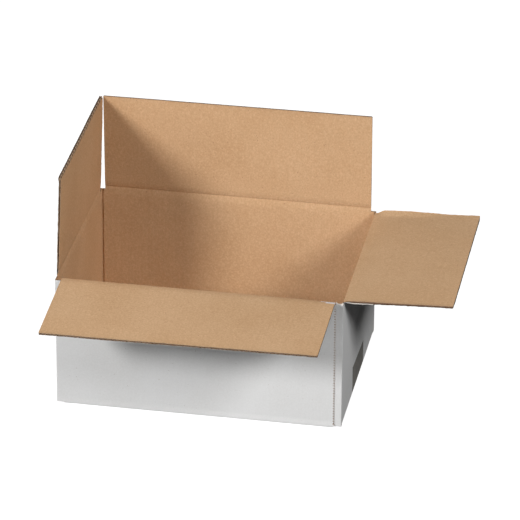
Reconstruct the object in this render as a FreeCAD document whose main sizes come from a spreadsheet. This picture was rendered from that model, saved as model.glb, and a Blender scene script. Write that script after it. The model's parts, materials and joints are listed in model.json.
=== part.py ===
"""Corrugated shipping box: a slotted carton of single-wall fluted board, top flaps open, bottom taped.

Millimetres, +Z up, +X along the long side, origin in the middle of the base.  The four walls, the glued
joint and the taped bottom flaps are one folded sheet.  Each top flap turns on its own crease.
"""
import FreeCAD, Part
import math
import os

import Sketcher

Vector = FreeCAD.Vector
doc = FreeCAD.newDocument("corrugated_shipping_box")

# name, value, meaning
SIZES = [
    ("board", 3.0, "thickness of the fluted board"),
    ("liner", 0.35, "thickness of each flat facing paper"),
    ("medium", 0.35, "upright thickness of the fluted paper between the facings"),
    ("flute_pitch", 6.25, "distance from one flute to the next"),
    ("flute_crest", 1.6, "width of a flute's glued crest"),
    ("carton_length", 500.0, "outside length, along X"),
    ("carton_width", 368.0, "outside width, along Y"),
    ("crease_height", 242.0, "front and rear flap creases above the base"),
    ("crease_step", 3.3, "side flap creases lie this much nearer the middle of the wall"),
    ("flap_seam", 1.0, "gap between the front and rear flaps when they are closed"),
    ("fold_radius", 3.0, "outside radius of a folded corner"),
    ("fold_gap", 0.15, "clearance between a wall and its flap at the crease"),
    ("crushed_band", 6.0, "length beside the crease where the flutes are pressed shut"),
    ("slot_overcut", 0.7, "slots run this far past the side flap creases"),
    ("front_slot_left", 13.0, "front flap's left end to the carton's left face"),
    ("front_slot_right", 13.0, "front flap's right end to the carton's right face"),
    ("rear_slot_left", 9.5, "rear flap's left end to the carton's left face"),
    ("rear_slot_right", 9.5, "rear flap's right end to the carton's right face"),
    ("left_slot_front", 15.0, "left flap's front end to the carton's front face"),
    ("left_slot_rear", 10.0, "left flap's rear end to the carton's rear face"),
    ("right_slot_front", 10.5, "right flap's front end to the carton's front face"),
    ("right_slot_rear", 11.5, "right flap's rear end to the carton's rear face"),
    ("front_flap_angle", 93.5, "rest angle, outwards from upright"),
    ("rear_flap_angle", -1.8, "rest angle, outwards from upright"),
    ("left_flap_angle", -2.0, "rest angle, outwards from upright"),
    ("right_flap_angle", 87.5, "rest angle, outwards from upright"),
    ("joint_setback", 12.5, "front panel's cut end to the carton's right face"),
    ("tab_overlap", 30.0, "glue tab's length behind the front panel"),
    ("tab_bevel", 11.0, "fall of the glue tab's cut ends over its length"),
    ("tooth_pitch", 5.3, "distance between the teeth of the serrated cut"),
    ("tooth_land", 0.9, "flat top of a tooth"),
    ("tooth_depth", 1.3, "depth of the serrated cut"),
    ("tape_width", 118.0, "width of the bottom sealing tape"),
    ("tape_thickness", 0.06, "thickness of the tape"),
    ("tape_lift", 0.15, "tape's slack over the folds and off the side walls"),
    ("tape_offset", -4.0, "tape's middle line behind the bottom seam"),
    ("tape_rise_front", 55.0, "height of the tape's ends at their front corner"),
    ("tape_rise_rear", 48.0, "height of the tape's ends at their rear corner"),
]

sheet = doc.addObject("Spreadsheet::Sheet", "sizes")
for row, (alias, value, meaning) in enumerate(SIZES, start=1):
    sheet.set(f"A{row}", alias)
    sheet.set(f"B{row}", str(value))
    sheet.set(f"C{row}", meaning)
    sheet.setAlias(f"B{row}", alias)
doc.recompute()

# Lengths that several sub-parts share, as expressions of the sheet.
HALF_LENGTH = "sizes.carton_length / 2"
HALF_WIDTH = "sizes.carton_width / 2"
LONG_CREASE = "sizes.crease_height"
SIDE_CREASE = "(sizes.crease_height - sizes.crease_step)"
LONG_FLAP = "(sizes.carton_width - sizes.flap_seam) / 2"
SIDE_FLAP = f"({LONG_FLAP} + sizes.crease_step)"
SLOT_FLOOR = f"({SIDE_CREASE} - sizes.slot_overcut)"
SLOT_ROOF = "(sizes.crease_step + sizes.slot_overcut)"
JOINT_END = f"({HALF_LENGTH} - sizes.joint_setback)"
TAPE_FRONT = "(sizes.tape_offset - sizes.tape_width / 2)"
TAPE_REAR = "(sizes.tape_offset + sizes.tape_width / 2)"


def number(expression):
    """Present value of an expression of the sheet."""
    return float(sheet.evalExpression(expression))


def origin_feature(body, role):
    return next(item for item in body.Origin.OriginFeatures if item.Role == role)


def new_sketch(body, name, plane, offset="0"):
    """Sketch on one of the body's origin planes, moved along the plane's normal by an expression."""
    sketch = body.newObject("Sketcher::SketchObject", name)
    sketch.AttachmentSupport = (origin_feature(body, plane), [""])
    sketch.MapMode = "FlatFace"
    if offset != "0":
        sketch.setExpression("AttachmentOffset.Base.z", offset)
    return sketch


def place_point(sketch, edge, end, across=None, along=None):
    """Dimension one end of an edge from the sketch's origin, across and along the sheet's expressions."""
    for kind, expression in (("DistanceX", across), ("DistanceY", along)):
        if expression is None:
            continue
        value = number(expression)
        index = sketch.addConstraint(Sketcher.Constraint(kind, -1, 1, edge, end, value))
        sketch.setExpression(f"Constraints[{index}]", expression)


def set_radius(sketch, arc, expression):
    index = sketch.addConstraint(Sketcher.Constraint("Radius", arc, number(expression)))
    sketch.setExpression(f"Constraints[{index}]", expression)


def add_outline(sketch, corners):
    """Closed outline through corners (across, along) or, on a square corner, (across, along, radius)."""
    count = len(corners)
    points = [Vector(number(corner[0]), number(corner[1]), 0) for corner in corners]
    starts, ends, arcs = [], [], []
    for index, corner in enumerate(corners):
        arriving = (points[index] - points[index - 1]).normalize()
        leaving = (points[(index + 1) % count] - points[index]).normalize()
        radius = number(corner[2]) if len(corner) > 2 else 0.0
        ends.append(points[index] - arriving * radius)
        starts.append(points[index] + leaving * radius)
        middle = points[index] + (leaving - arriving) * radius * (1 - math.sqrt(0.5))
        arcs.append(Part.Arc(ends[-1], middle, starts[-1]) if radius else None)
    lines = []
    for index in range(count):
        following = (index + 1) % count
        lines.append(sketch.addGeometry(Part.LineSegment(starts[index], ends[following])))
    for index, corner in enumerate(corners):
        before, after = lines[index - 1], lines[index]
        if arcs[index] is None:
            sketch.addConstraint(Sketcher.Constraint("Coincident", before, 2, after, 1))
            place_point(sketch, after, 1, corner[0], corner[1])
            continue
        arc = sketch.addGeometry(arcs[index])
        # An arc always runs anticlockwise, so a clockwise corner arrives at its second end.
        arrives_at = 1 if (sketch.getPoint(arc, 1) - ends[index]).Length < 1e-6 else 2
        sketch.addConstraint(Sketcher.Constraint("Tangent", before, 2, arc, arrives_at))
        sketch.addConstraint(Sketcher.Constraint("Tangent", after, 1, arc, 3 - arrives_at))
        set_radius(sketch, arc, corner[2])
    for index, line in enumerate(lines):
        following = (index + 1) % count
        rounded = (arcs[index] is not None) + (arcs[following] is not None)
        if not rounded:
            continue
        upright = abs(points[index].x - points[following].x) < 1e-6
        sketch.addConstraint(Sketcher.Constraint("Vertical" if upright else "Horizontal", line))
        if rounded == 2 and upright:
            place_point(sketch, line, 1, across=corners[index][0])
        elif rounded == 2:
            place_point(sketch, line, 1, along=corners[index][1])


def pad(body, name, sketch, length):
    feature = body.newObject("PartDesign::Pad", name)
    feature.Profile = sketch
    feature.setExpression("Length", length)
    return feature


def pocket(body, name, sketch, length, reverse=False):
    feature = body.newObject("PartDesign::Pocket", name)
    feature.Profile = sketch
    feature.Reversed = reverse
    feature.setExpression("Length", length)
    return feature


def row_of(body, name, feature, axis, spacing, copies):
    """Repeat a feature along one of the body's origin axes and make the row the body's tip."""
    pattern = body.newObject("PartDesign::LinearPattern", name)
    pattern.Originals = [feature]
    pattern.Direction = (origin_feature(body, axis), [""])
    pattern.Mode = "Spacing"
    pattern.setExpression("Offset", spacing)
    pattern.setExpression("Occurrences", copies)
    body.Tip = pattern
    return pattern


def new_body(label):
    body = doc.addObject("PartDesign::Body", label)
    body.Label = label
    return body


def add_fold_waste(sketch, side, face, base):
    """What a bottom fold's round leaves outside it, between the wall's face and the flap's underside."""
    radius = number("sizes.fold_radius")
    corner = Vector(number(face), number(base), 0)
    on_face = corner + Vector(0, radius, 0)
    on_base = corner - Vector(side * radius, 0, 0)
    middle = corner + Vector(-side, 1, 0) * radius * (1 - math.sqrt(0.5))
    upright = sketch.addGeometry(Part.LineSegment(corner, on_face))
    level = sketch.addGeometry(Part.LineSegment(on_base, corner))
    arc = sketch.addGeometry(Part.Arc(on_face, middle, on_base))
    face_end = 1 if (sketch.getPoint(arc, 1) - on_face).Length < 1e-6 else 2
    sketch.addConstraint(Sketcher.Constraint("Coincident", level, 2, upright, 1))
    sketch.addConstraint(Sketcher.Constraint("Coincident", upright, 2, arc, face_end))
    sketch.addConstraint(Sketcher.Constraint("Coincident", level, 1, arc, 3 - face_end))
    sketch.addConstraint(Sketcher.Constraint("Vertical", upright))
    sketch.addConstraint(Sketcher.Constraint("Horizontal", level))
    sketch.addConstraint(Sketcher.Constraint("Horizontal", arc, 3, arc, face_end))
    sketch.addConstraint(Sketcher.Constraint("Vertical", arc, 3, arc, 3 - face_end))
    place_point(sketch, upright, 1, face, base)
    place_point(sketch, arc, 3, across=f"{face} - {side} * sizes.fold_radius")


def add_wall(body, name, plane, side, half, base, crease, reach, first, width, underside):
    """One wall with its bottom flap, folded in under the carton, as a section drawn out along the wall.

    side is -1 or +1, half the wall's outer face from the middle, base the height of the bottom flap's
    underside, reach the bottom flap's free edge from the middle, first the start along the normal, and
    underside any further corners from the free edge back to the fold.  The wall's inner top edge is mitred
    under the crease, so that the top flap can fold in flat.
    """
    outer = f"{side} * {half}"
    inner = f"{side} * ({half} - sizes.board)"
    top = f"{crease} - sizes.fold_gap"
    section = new_sketch(body, f"{name}_section", plane, first)
    add_outline(section, [
        (outer, base),
        (outer, top),
        (inner, top),
        (inner, f"{base} + sizes.board"),
        (f"{side} * {reach}", f"{base} + sizes.board"),
    ] + underside)
    pad(body, name, section, width)

    mitre = new_sketch(body, f"{name}_mitre_cut", plane, first)
    add_outline(mitre, [
        (outer, top),
        (inner, top),
        (inner, f"{top} - sizes.board"),
    ])
    pocket(body, f"{name}_mitre", mitre, width, reverse=True)


def round_bottom_fold(body, name, plane, side, half, base, span):
    """Round the fold between a wall and its bottom flap, over the carton's whole span."""
    waste = new_sketch(body, f"{name}_fold_waste", plane, f"-1 * {span} / 2")
    add_fold_waste(waste, side, f"{side} * {half}", base)
    body.Tip = pocket(body, f"{name}_fold", waste, span, reverse=True)


def make_carton_body():
    """Walls, glued corner joint and folded bottom flaps: one sheet of board."""
    body = new_body("carton_body")

    ring = new_sketch(body, "wall_ring_plan", "XY_Plane", SLOT_ROOF)
    left, right = f"-1 * {HALF_LENGTH}", HALF_LENGTH
    front, rear = f"-1 * {HALF_WIDTH}", HALF_WIDTH
    tab_face = f"{front} + sizes.board"
    bend = "sizes.fold_radius"
    add_outline(ring, [
        (JOINT_END, front),
        (JOINT_END, tab_face),
        (right, tab_face, bend),
        (right, rear, bend),
        (left, rear, bend),
        (left, front, bend),
    ])
    tab_end = f"{JOINT_END} - sizes.tab_overlap"
    add_outline(ring, [
        (tab_end, tab_face),
        (tab_end, f"{tab_face} + sizes.board"),
        (f"{right} - sizes.board", f"{tab_face} + sizes.board"),
        (f"{right} - sizes.board", f"{rear} - sizes.board"),
        (f"{left} + sizes.board", f"{rear} - sizes.board"),
        (f"{left} + sizes.board", tab_face),
    ])
    pad(body, "wall_ring", ring, f"{SLOT_FLOOR} - {SLOT_ROOF}")

    # The long walls reach the ground; their bottom flaps meet at the seam, hollowed by the tape's thickness.
    seam = "sizes.flap_seam / 2"
    for name, side, slots, tape_edge in (
        ("front_wall", -1, ("sizes.front_slot_left", "sizes.front_slot_right"), TAPE_FRONT),
        ("rear_wall", 1, ("sizes.rear_slot_left", "sizes.rear_slot_right"), TAPE_REAR),
    ):
        underside = [
            (f"{side} * {seam}", "sizes.tape_thickness"),
            (tape_edge, "sizes.tape_thickness"),
            (tape_edge, "0"),
        ]
        add_wall(body, name, "YZ_Plane", side, HALF_WIDTH, "0", LONG_CREASE, seam,
                 f"{slots[0]} - {HALF_LENGTH}", f"sizes.carton_length - {slots[0]} - {slots[1]}", underside)

    # The side walls stand one board higher; their bottom flaps lie on the long walls' flaps.
    reach = f"({HALF_LENGTH} - {SIDE_FLAP})"
    for name, side, slots in (
        ("left_wall", -1, ("sizes.left_slot_rear", "sizes.left_slot_front")),
        ("right_wall", 1, ("sizes.right_slot_rear", "sizes.right_slot_front")),
    ):
        underside = [(f"{side} * {reach}", "sizes.crease_step")]
        add_wall(body, name, "XZ_Plane", side, HALF_LENGTH, "sizes.crease_step", SIDE_CREASE, reach,
                 f"{slots[0]} - {HALF_WIDTH}", f"sizes.carton_width - {slots[0]} - {slots[1]}", underside)

    for name, plane, side, half, base, span in (
        ("front_wall", "YZ_Plane", -1, HALF_WIDTH, "0", "sizes.carton_length"),
        ("rear_wall", "YZ_Plane", 1, HALF_WIDTH, "0", "sizes.carton_length"),
        ("left_wall", "XZ_Plane", -1, HALF_LENGTH, "sizes.crease_step", "sizes.carton_width"),
        ("right_wall", "XZ_Plane", 1, HALF_LENGTH, "sizes.crease_step", "sizes.carton_width"),
    ):
        round_bottom_fold(body, name, plane, side, half, base, span)

    # Serrated cut along the front panel's end, over the glue tab.
    tooth = new_sketch(body, "serration_notch", "XZ_Plane", HALF_WIDTH)
    add_outline(tooth, [
        (f"{JOINT_END} + sizes.tooth_land", SLOT_ROOF),
        (JOINT_END, SLOT_ROOF),
        (f"{JOINT_END} - sizes.tooth_depth", f"{SLOT_ROOF} + (sizes.tooth_pitch - sizes.tooth_land) / 2"),
        (JOINT_END, f"{SLOT_ROOF} + sizes.tooth_pitch - sizes.tooth_land"),
        (f"{JOINT_END} + sizes.tooth_land", f"{SLOT_ROOF} + sizes.tooth_pitch - sizes.tooth_land"),
    ])
    notch = pocket(body, "serration", tooth, "sizes.board")
    row_of(body, "serration_row", notch, "Z_Axis", "sizes.tooth_pitch",
           f"floor(({SLOT_FLOOR} - {SLOT_ROOF}) / sizes.tooth_pitch)")

    # Slanted ends of the glue tab, behind the front panel.
    bevel = new_sketch(body, "tab_bevel_cut", "XZ_Plane", f"{HALF_WIDTH} - sizes.board")
    for level, direction in ((SLOT_FLOOR, "-1"), (SLOT_ROOF, "1")):
        add_outline(bevel, [
            (JOINT_END, level),
            (tab_end, level),
            (tab_end, f"{level} + {direction} * sizes.tab_bevel"),
        ])
    body.Tip = pocket(body, "tab_bevel", bevel, "sizes.board")
    return body


def make_flap(label, first, width, length, hinge, turn, lean):
    """A top flap, drawn upright on its crease: X along the crease, Y from the outer to the inner facing.

    Its root is mitred so that it folds in flat over the wall, and its flutes stay open at the free edge and
    along the cut sides.  hinge is the crease's place, turn faces the flap outwards and lean opens it.
    """
    body = new_body(label)
    section = new_sketch(body, f"{label}_section", "YZ_Plane", first)
    add_outline(section, [
        ("0", "0"),
        ("sizes.board", "sizes.board"),
        ("sizes.board", length),
        ("0", length),
    ])
    pad(body, f"{label}_blank", section, width)

    flutes = new_sketch(body, f"{label}_flute", "XY_Plane", length)
    outer_level = "sizes.liner"
    inner_level = "(sizes.board - sizes.liner)"
    wide = "(sizes.flute_pitch - sizes.flute_crest) / 2"
    narrow = "sizes.flute_crest / 2"
    for centre, floor, roof in (
        (first, outer_level, f"{inner_level} - sizes.medium"),
        (f"({first} + sizes.flute_pitch / 2)", inner_level, f"{outer_level} + sizes.medium"),
    ):
        add_outline(flutes, [
            (f"{centre} - {wide}", floor),
            (f"{centre} + {wide}", floor),
            (f"{centre} + {narrow}", roof),
            (f"{centre} - {narrow}", roof),
        ])
    channel = pocket(body, f"{label}_channel", flutes, f"{length} - sizes.crushed_band")
    row_of(body, f"{label}_flutes", channel, "X_Axis", "sizes.flute_pitch",
           f"ceil(({width}) / sizes.flute_pitch) + 1")
    body.setExpression("Placement", f"placement(vector({hinge}); rotation(vector(0; 0; 1); {turn})"
                                    f" * rotation(vector(1; 0; 0); {lean}))")
    return body


def make_top_flaps():
    """The four top flaps, each on its wall's outer crease line."""
    sides = (
        # label, its wall's span, slot at each end, length, crease, facing
        ("front_flap", "carton_length", ("front_slot_left", "front_slot_right"), LONG_FLAP,
         f"0; -1 * {HALF_WIDTH}; {LONG_CREASE}", 0),
        ("rear_flap", "carton_length", ("rear_slot_right", "rear_slot_left"), LONG_FLAP,
         f"0; {HALF_WIDTH}; {LONG_CREASE}", 180),
        ("left_flap", "carton_width", ("left_slot_rear", "left_slot_front"), SIDE_FLAP,
         f"-1 * {HALF_LENGTH}; 0; {SIDE_CREASE}", -90),
        ("right_flap", "carton_width", ("right_slot_front", "right_slot_rear"), SIDE_FLAP,
         f"{HALF_LENGTH}; 0; {SIDE_CREASE}", 90),
    )
    flaps = []
    for label, span, slots, length, hinge, turn in sides:
        first = f"(sizes.{slots[0]} - sizes.{span} / 2)"
        width = f"sizes.{span} - sizes.{slots[0]} - sizes.{slots[1]}"
        flaps.append(make_flap(label, first, width, length, hinge, turn, f"sizes.{label}_angle"))
    return flaps


def make_bottom_tape():
    """Sealing tape under the bottom seam, bent up both side walls and cut on a slant."""
    body = new_body("bottom_tape")
    slots = "; ".join(f"sizes.{side}_slot_{end}" for side in ("front", "rear") for end in ("left", "right"))
    turn = f"({HALF_LENGTH} - min({slots}) + sizes.tape_lift)"
    axis_across = f"({HALF_LENGTH} - sizes.fold_radius)"
    axis_along = "(sizes.crease_step + sizes.fold_radius)"
    inner_radius = "(sizes.fold_radius + sizes.tape_lift)"
    outer_radius = f"({inner_radius} + sizes.tape_thickness)"
    top = "max(sizes.tape_rise_front; sizes.tape_rise_rear)"

    # Starting positions: the slanted run leaves the flat at the long flaps' ends and touches the fold.
    centre = Vector(number(axis_across), number(axis_along), 0)
    foot = Vector(number(turn), 0, 0)
    slope = math.atan2(centre.y - foot.y, centre.x - foot.x)
    slope -= math.asin(number(outer_radius) / (centre - foot).Length)
    run = Vector(math.cos(slope), math.sin(slope), 0)
    outward = Vector(math.sin(slope), -math.cos(slope), 0)
    thickness = number("sizes.tape_thickness")
    inner_foot = foot - outward * thickness - run * thickness * math.tan(slope / 2)
    half_turn = Vector(math.cos((slope - math.pi / 2) / 2), math.sin((slope - math.pi / 2) / 2), 0)

    sketch = new_sketch(body, "tape_run", "XZ_Plane", f"-1 * {TAPE_REAR}")

    def corner(radius, direction):
        return centre + direction * radius

    def line(start, end):
        return sketch.addGeometry(Part.LineSegment(start, end))

    def bend(radius):
        arc = Part.Arc(corner(radius, outward), corner(radius, half_turn), corner(radius, Vector(1, 0, 0)))
        return sketch.addGeometry(arc)

    inner, outer = number(inner_radius), number(outer_radius)
    height = number(top)
    flat = line(Vector(0, 0, 0), foot)
    slant = line(foot, corner(outer, outward))
    outer_bend = bend(outer)
    rise = line(corner(outer, Vector(1, 0, 0)), Vector(centre.x + outer, height, 0))
    cut = line(Vector(centre.x + outer, height, 0), Vector(centre.x + inner, height, 0))
    inner_rise = line(Vector(centre.x + inner, height, 0), corner(inner, Vector(1, 0, 0)))
    inner_bend = bend(inner)
    inner_slant = line(corner(inner, outward), inner_foot)
    inner_flat = line(inner_foot, Vector(0, thickness, 0))
    middle = line(Vector(0, thickness, 0), Vector(0, 0, 0))

    for before, after in ((flat, slant), (rise, cut), (cut, inner_rise), (inner_slant, inner_flat),
                          (inner_flat, middle), (middle, flat)):
        sketch.addConstraint(Sketcher.Constraint("Coincident", before, 2, after, 1))
    for straight, end, arc, arc_end in ((slant, 2, outer_bend, 1), (rise, 1, outer_bend, 2),
                                        (inner_rise, 2, inner_bend, 2), (inner_slant, 1, inner_bend, 1)):
        sketch.addConstraint(Sketcher.Constraint("Tangent", straight, end, arc, arc_end))
    for upright in (rise, inner_rise):
        sketch.addConstraint(Sketcher.Constraint("Vertical", upright))
    for level in (cut, inner_flat):
        sketch.addConstraint(Sketcher.Constraint("Horizontal", level))
    sketch.addConstraint(Sketcher.Constraint("Coincident", inner_bend, 3, outer_bend, 3))
    sketch.addConstraint(Sketcher.Constraint("Parallel", slant, inner_slant))
    set_radius(sketch, outer_bend, outer_radius)
    set_radius(sketch, inner_bend, inner_radius)
    place_point(sketch, outer_bend, 3, axis_across, axis_along)
    place_point(sketch, flat, 1, "0", "0")
    place_point(sketch, slant, 1, turn, "0")
    place_point(sketch, cut, 1, along=top)
    place_point(sketch, middle, 1, "0", "sizes.tape_thickness")
    half = pad(body, "tape_half", sketch, "sizes.tape_width")

    mirror = body.newObject("PartDesign::Mirrored", "tape_other_half")
    mirror.Originals = [half]
    mirror.MirrorPlane = (origin_feature(body, "YZ_Plane"), [""])
    body.Tip = mirror

    trim = new_sketch(body, "tape_end_cut", "YZ_Plane")
    above = f"{top} + sizes.tape_width"
    add_outline(trim, [
        (TAPE_FRONT, "sizes.tape_rise_front"),
        (TAPE_REAR, "sizes.tape_rise_rear"),
        (TAPE_REAR, above),
        (TAPE_FRONT, above),
    ])
    ends = pocket(body, "tape_ends", trim, "sizes.carton_length + 4 * sizes.board")
    ends.Midplane = True
    body.Tip = ends
    return body


sub_parts = [make_carton_body()] + make_top_flaps() + [make_bottom_tape()]
doc.recompute()

for item in doc.Objects:
    if "Invalid" in item.State or "Error" in item.State:
        raise RuntimeError(f"{item.Name} is {item.State}")
for sub_part in sub_parts:
    if sub_part.Shape.isNull() or not sub_part.Shape.isValid() or len(sub_part.Shape.Solids) != 1:
        raise RuntimeError(f"{sub_part.Label} is not one valid solid")

os.makedirs("parts", exist_ok=True)
for sub_part in sub_parts:
    sub_part.Shape.exportStep(os.path.join("parts", f"{sub_part.Label}.step"))
    print(sub_part.Label, round(sub_part.Shape.Volume), "mm3", len(sub_part.Shape.Faces), "faces")
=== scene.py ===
import bpy
import json
import math
from mathutils import Matrix, Vector


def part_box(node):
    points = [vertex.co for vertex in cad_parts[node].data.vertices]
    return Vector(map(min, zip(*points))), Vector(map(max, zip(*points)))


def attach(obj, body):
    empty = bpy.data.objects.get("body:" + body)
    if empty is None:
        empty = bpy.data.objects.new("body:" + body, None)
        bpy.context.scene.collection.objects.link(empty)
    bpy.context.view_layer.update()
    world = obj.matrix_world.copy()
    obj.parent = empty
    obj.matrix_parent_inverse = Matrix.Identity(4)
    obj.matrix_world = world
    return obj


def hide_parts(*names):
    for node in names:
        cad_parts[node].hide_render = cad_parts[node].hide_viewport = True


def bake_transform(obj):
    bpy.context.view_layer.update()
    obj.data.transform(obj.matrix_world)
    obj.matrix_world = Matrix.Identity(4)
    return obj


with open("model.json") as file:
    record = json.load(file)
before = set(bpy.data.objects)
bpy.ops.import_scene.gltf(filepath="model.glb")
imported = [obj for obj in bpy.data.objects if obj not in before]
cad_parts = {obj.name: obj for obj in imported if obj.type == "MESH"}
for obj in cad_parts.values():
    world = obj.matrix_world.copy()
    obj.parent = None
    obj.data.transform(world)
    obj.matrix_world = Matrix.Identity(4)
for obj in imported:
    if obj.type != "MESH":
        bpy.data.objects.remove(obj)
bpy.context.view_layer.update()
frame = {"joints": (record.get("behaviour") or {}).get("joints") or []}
bpy.ops.object.select_all(action="DESELECT")

mm = 0.001
along, across, upward = Vector((1, 0, 0)), Vector((0, 1, 0)), Vector((0, 0, 1))

# single-wall board, the same everywhere in the carton
board = {
    "thick": 3.0 * mm,
    "liner": 0.4 * mm,
    "medium": 0.4 * mm,
    "flute": 6.25 * mm,
    "flutePoints": 12,  # columns in one wave of the fluted paper
    "mitre": 5.0 * mm,  # walls and flaps stop this far from a top crease, the fold fills the rest
}

carton = {node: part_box(node) for node in ("carton_body", "bottom_tape")}
cartonLow, cartonHigh = carton["carton_body"]


def activate(piece):
    bpy.ops.object.select_all(action="DESELECT")
    piece.select_set(True)
    bpy.context.view_layer.objects.active = piece


def editing(piece):
    activate(piece)
    bpy.ops.object.mode_set(mode="EDIT")


def leaveEditing():
    bpy.ops.object.mode_set(mode="OBJECT")


def pick(piece, kind, items, wanted):
    bpy.ops.mesh.select_mode(type=kind)
    bpy.ops.mesh.select_all(action="DESELECT")
    leaveEditing()
    for item in getattr(piece.data, items):
        item.select = wanted(item)
    bpy.ops.object.mode_set(mode="EDIT")


def pickVerts(piece, wanted):
    pick(piece, "VERT", "vertices", lambda vert: wanted(vert.co))


def pickFaces(piece, wanted):
    pick(piece, "FACE", "polygons", lambda face: wanted(face.center, face.normal))


def pickEdges(piece, wanted, wantedMiddle=None):
    # an edge is picked when both its ends pass, and its middle if that is asked for
    def passes(edge):
        start, end = (piece.data.vertices[i].co for i in edge.vertices)
        return wanted(start) and wanted(end) and (not wantedMiddle or wantedMiddle((start + end) / 2))

    pick(piece, "EDGE", "edges", passes)


def drawOut(step):
    bpy.ops.mesh.extrude_region_move(TRANSFORM_OT_translate={"value": step})


def slide(step):
    bpy.ops.transform.translate(value=step)


def sliceAt(axis, places):
    for place in places:
        bpy.ops.mesh.select_all(action="SELECT")
        bpy.ops.mesh.bisect(plane_co=axis * place, plane_no=axis)


def cutAway(point, facing):
    # everything on the side that facing points to goes
    bpy.ops.mesh.select_all(action="SELECT")
    bpy.ops.mesh.bisect(plane_co=point, plane_no=facing, clear_outer=True)


def evenly(start, end, step):
    count = max(1, round((end - start) / step))
    return [start + (end - start) * i / count for i in range(1, count)]


def applyAll(piece):
    activate(piece)
    for modifier in list(piece.modifiers):
        bpy.ops.object.modifier_apply(modifier=modifier.name)


def thicken(piece, thick, offset, even=False, back=0, rim=0):
    # back and rim: how many material slots the far side and the edge lie after the face
    solid = piece.modifiers.new("thickness", "SOLIDIFY")
    solid.thickness, solid.offset, solid.use_even_offset = thick, offset, even
    solid.material_offset, solid.material_offset_rim = back, rim
    applyAll(piece)


def settle(piece):
    activate(piece)
    bpy.ops.object.transform_apply(location=True, rotation=True, scale=True)


def rising(value, start, length):
    return min(max((value - start) / length, 0), 1)


def repaint(piece, paper, wanted):
    if piece.data.materials.find(paper.name) < 0:
        piece.data.materials.append(paper)
    editing(piece)
    pickFaces(piece, wanted)
    piece.active_material_index = piece.data.materials.find(paper.name)
    bpy.ops.object.material_slot_assign()
    leaveEditing()


def joined(name, pieces):
    bpy.ops.object.select_all(action="DESELECT")
    for piece in pieces:
        piece.select_set(True)
    bpy.context.view_layer.objects.active = pieces[0]
    bpy.ops.object.join()
    whole = bpy.context.object
    whole.name = whole.data.name = name
    return whole


def softenShading(piece, degrees=32):
    activate(piece)
    bpy.ops.object.shade_smooth_by_angle(angle=math.radians(degrees))


def near(a, b, slack=0.05 * mm):
    return abs(a - b) < slack


def newMaterial(name):
    material = bpy.data.materials.new(name)
    material.use_nodes = True
    tree = material.node_tree
    place = tree.nodes.new("ShaderNodeTexCoord").outputs["Object"]
    return material, tree, tree.nodes["Principled BSDF"], place


def setInputs(node, values):
    for socket, value in values.items():
        node.inputs[socket].default_value = value


def setShader(tree, shader, colour, roughness, gloss=0.0):
    tree.links.new(colour, shader.inputs["Base Color"])
    setInputs(shader, {"Roughness": roughness, "Specular IOR Level": gloss})


def levels(tree, value, low, high, toLow=0.0, toHigh=1.0):
    node = tree.nodes.new("ShaderNodeMapRange")
    setInputs(node, {"From Min": low, "From Max": high, "To Min": toLow, "To Max": toHigh})
    tree.links.new(value, node.inputs["Value"])
    return node.outputs["Result"]


def cloudLevels(tree, place, cloud, stretch=(1, 1, 1), roughness=0.55):
    # a noise over the object, as a share between its two levels
    scale, detail, low, high = cloud
    mapping = tree.nodes.new("ShaderNodeMapping")
    setInputs(mapping, {"Scale": stretch})
    tree.links.new(place, mapping.inputs["Vector"])
    noise = tree.nodes.new("ShaderNodeTexNoise")
    setInputs(noise, {"Scale": scale, "Detail": detail, "Roughness": roughness})
    tree.links.new(mapping.outputs["Vector"], noise.inputs["Vector"])
    return levels(tree, noise.outputs["Fac"], low, high)


def tinted(tree, amount, under, over, share=None):
    # under and over are a colour or a socket
    if share is not None:
        amount = maths(tree, "MULTIPLY", amount, share)
    node = tree.nodes.new("ShaderNodeMix")
    node.data_type, node.blend_type = "RGBA", "MIX"
    tree.links.new(amount, node.inputs["Factor"])
    for socket, value in ((node.inputs[6], under), (node.inputs[7], over)):
        if isinstance(value, tuple):
            socket.default_value = value + (1,)
        else:
            tree.links.new(value, socket)
    return node.outputs[2]


def maths(tree, operation, *values):
    node = tree.nodes.new("ShaderNodeMath")
    node.operation = operation
    for socket, value in zip(node.inputs, values):
        if isinstance(value, (int, float)):
            socket.default_value = value
        else:
            tree.links.new(value, socket)
    return node.outputs[0]


fluteShow = {"each": 0.55, "everySecond": 0.6}


def fluteWave(tree, place, axis):
    # the flutes under a liner, as a wave across them, for its bump and for the painted shade along the flutes
    split = tree.nodes.new("ShaderNodeSeparateXYZ")
    tree.links.new(place, split.inputs[0])
    turns = maths(tree, "MULTIPLY", split.outputs[axis], 2 * math.pi / board["flute"])
    wave = maths(tree, "SINE", turns, 0.0)
    paired = maths(tree, "SINE", maths(tree, "MULTIPLY", turns, 0.5), 0.0)
    return maths(tree, "ADD", maths(tree, "MULTIPLY", wave, fluteShow["each"]),
                 maths(tree, "MULTIPLY", paired, fluteShow["everySecond"]))


def addBump(tree, shader, height, strength, distance):
    bump = tree.nodes.new("ShaderNodeBump")
    setInputs(bump, {"Strength": strength, "Distance": distance})
    tree.links.new(height, bump.inputs["Height"])
    tree.links.new(bump.outputs["Normal"], shader.inputs["Normal"])


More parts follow.
